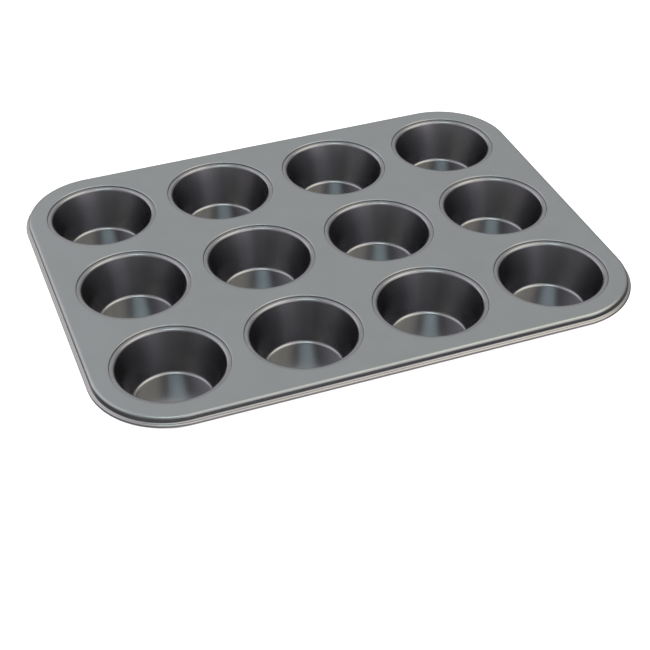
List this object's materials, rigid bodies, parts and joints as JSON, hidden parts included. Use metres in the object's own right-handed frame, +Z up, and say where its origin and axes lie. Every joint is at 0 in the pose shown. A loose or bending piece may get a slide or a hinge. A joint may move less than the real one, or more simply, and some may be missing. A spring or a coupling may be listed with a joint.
{
  "type": "muffin tin",
  "caption": "Shallow muffin tin: round tapered cups set in a flat steel plate with rounded corners and a rolled, wired edge, all in a dark non-stick finish.",
  "frame": {"origin": "under the middle of the tin, on the plane the cups stand on", "axes": "+X along the tin's length, +Y towards its back, +Z up out of the cups"},
  "size_m": [0.3524, 0.2694, 0.0296],
  "materials": {
    "plate_coating": "satin dark grey non-stick coating on steel",
    "cup_coating": "semi-gloss near-black non-stick coating on drawn steel",
    "wire_steel": "plain drawn wire"
  },
  "bodies": {
    "root": {"frame": "plate_coating", "rim_wire": "wire_steel", "cup_row1_col1": "cup_coating", "cup_row1_col2": "cup_coating", "cup_row1_col3": "cup_coating", "cup_row1_col4": "cup_coating", "cup_row2_col1": "cup_coating", "cup_row2_col2": "cup_coating", "cup_row2_col3": "cup_coating", "cup_row2_col4": "cup_coating", "cup_row3_col1": "cup_coating", "cup_row3_col2": "cup_coating", "cup_row3_col3": "cup_coating", "cup_row3_col4": "cup_coating"}
  },
  "joints": []
}
